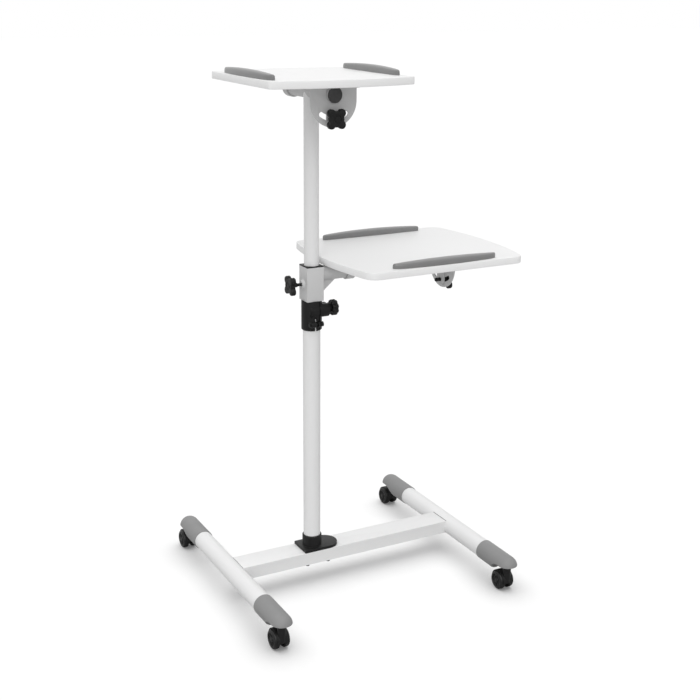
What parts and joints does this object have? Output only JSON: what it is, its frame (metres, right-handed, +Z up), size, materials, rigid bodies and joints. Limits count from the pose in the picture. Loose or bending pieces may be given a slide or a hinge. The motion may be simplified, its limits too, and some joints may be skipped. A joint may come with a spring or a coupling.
{
  "type": "av trolley",
  "caption": "Mobile AV stand: H base on twin-wheel casters, telescoping column, tilting top shelf and tilting side shelf on a sliding sleeve.",
  "frame": {"origin": "middle of the footprint, at floor level", "axes": "+X to the right along the crossbar towards the side shelf, +Y to the back, +Z up"},
  "size_m": [0.7889, 0.6908, 1.3612],
  "materials": {
    "white_paint": "satin powder coat",
    "bracket_paint": "satin powder coat",
    "white_board": "white melamine-faced board, satin",
    "grey_plastic": "fine moulded texture",
    "black_plastic": "moulded, satin",
    "wheel_plastic": "moulded, satin",
    "screw_steel": "zinc plated"
  },
  "bodies": {
    "root": {"crossbar": "white_paint", "left_foot_tube": "white_paint", "right_foot_tube": "white_paint", "front_left_cap": "grey_plastic", "front_right_cap": "grey_plastic", "back_left_cap": "grey_plastic", "back_right_cap": "grey_plastic", "column_flange": "black_plastic", "flange_screws": "screw_steel", "lower_column": "white_paint", "column_clamp": "black_plastic", "clamp_screw": "black_plastic"},
    "clamp_knob": {"clamp_knob": "black_plastic"},
    "glide": {"mast_bush": "black_plastic"},
    "mast": {"mast": "white_paint", "top_pivot_tube": "white_paint", "top_tube_plugs": "black_plastic", "top_lug": "bracket_paint"},
    "top_knob": {"top_knob": "black_plastic"},
    "top_shelf": {"top_bracket": "bracket_paint", "top_saddle": "bracket_paint", "top_shelf": "white_board", "top_left_stop": "grey_plastic", "top_right_stop": "grey_plastic"},
    "slider": {"sleeve_liner": "black_plastic"},
    "sleeve": {"sleeve": "white_paint", "sleeve_bush": "black_plastic", "side_arm": "white_paint", "arm_plug": "black_plastic", "side_lug": "bracket_paint"},
    "sleeve_knob": {"sleeve_knob": "black_plastic"},
    "side_knob": {"side_knob": "black_plastic"},
    "side_shelf": {"side_bracket": "bracket_paint", "side_saddle": "bracket_paint", "side_shelf": "white_board", "side_front_stop": "grey_plastic", "side_back_stop": "grey_plastic"},
    "front_left_caster": {"front_left_caster": "black_plastic"},
    "front_left_wheels": {"front_left_wheels": "wheel_plastic"},
    "front_right_caster": {"front_right_caster": "black_plastic"},
    "front_right_wheels": {"front_right_wheels": "wheel_plastic"},
    "back_left_caster": {"back_left_caster": "black_plastic"},
    "back_left_wheels": {"back_left_wheels": "wheel_plastic"},
    "back_right_caster": {"back_right_caster": "black_plastic"},
    "back_right_wheels": {"back_right_wheels": "wheel_plastic"}
  },
  "joints": [
    {"name": "mast_slide", "type": "slide", "parent": "root", "child": "glide", "axis": [0, 0, 1], "range_m": [-0.3, 0.05]},
    {"name": "mast_swivel", "type": "hinge", "parent": "glide", "child": "mast", "pos_m": [-0.1325, -0.0095, 1], "axis": [0, 0, 1], "continuous": true},
    {"name": "top_tilt", "type": "hinge", "parent": "mast", "child": "top_shelf", "pos_m": [-0.1325, -0.0095, 1.304], "axis": [0, 1, 0], "range_deg": [-35, 35]},
    {"name": "top_knob_turn", "type": "hinge", "parent": "mast", "child": "top_knob", "pos_m": [-0.1325, -0.125, 1.249], "axis": [0, -1, 0], "continuous": true},
    {"name": "clamp_knob_turn", "type": "hinge", "parent": "root", "child": "clamp_knob", "pos_m": [-0.0825, -0.0095, 0.754], "axis": [1, 0, 0], "continuous": true},
    {"name": "sleeve_slide", "type": "slide", "parent": "root", "child": "slider", "axis": [0, 0, 1], "range_m": [0, 0.25]},
    {"name": "sleeve_swivel", "type": "hinge", "parent": "slider", "child": "sleeve", "pos_m": [-0.1325, -0.0095, 0.82], "axis": [0, 0, 1], "continuous": true},
    {"name": "side_tilt", "type": "hinge", "parent": "sleeve", "child": "side_shelf", "pos_m": [0.1455, -0.0095, 0.8483], "axis": [-1, 0, 0], "range_deg": [-35, 35]},
    {"name": "side_knob_turn", "type": "hinge", "parent": "sleeve", "child": "side_knob", "pos_m": [0.2575, -0.0095, 0.7933], "axis": [1, 0, 0], "continuous": true},
    {"name": "sleeve_knob_turn", "type": "hinge", "parent": "sleeve", "child": "sleeve_knob", "pos_m": [-0.1825, -0.0095, 0.8243], "axis": [-1, 0, 0], "continuous": true},
    {"name": "front_left_swivel", "type": "hinge", "parent": "root", "child": "front_left_caster", "pos_m": [-0.3675, -0.3185, 0.06], "axis": [0, 0, 1], "continuous": true},
    {"name": "front_left_roll", "type": "hinge", "parent": "front_left_caster", "child": "front_left_wheels", "pos_m": [-0.3675, -0.3005, 0.025], "axis": [1, 0, 0], "continuous": true},
    {"name": "front_right_swivel", "type": "hinge", "parent": "root", "child": "front_right_caster", "pos_m": [0.2945, -0.3185, 0.06], "axis": [0, 0, 1], "continuous": true},
    {"name": "front_right_roll", "type": "hinge", "parent": "front_right_caster", "child": "front_right_wheels", "pos_m": [0.2945, -0.3005, 0.025], "axis": [1, 0, 0], "continuous": true},
    {"name": "back_left_swivel", "type": "hinge", "parent": "root", "child": "back_left_caster", "pos_m": [-0.3675, 0.2995, 0.06], "axis": [0, 0, 1], "continuous": true},
    {"name": "back_left_roll", "type": "hinge", "parent": "back_left_caster", "child": "back_left_wheels", "pos_m": [-0.3675, 0.3175, 0.025], "axis": [1, 0, 0], "continuous": true},
    {"name": "back_right_swivel", "type": "hinge", "parent": "root", "child": "back_right_caster", "pos_m": [0.2945, 0.2995, 0.06], "axis": [0, 0, 1], "continuous": true},
    {"name": "back_right_roll", "type": "hinge", "parent": "back_right_caster", "child": "back_right_wheels", "pos_m": [0.2945, 0.3175, 0.025], "axis": [1, 0, 0], "continuous": true}
  ]
}
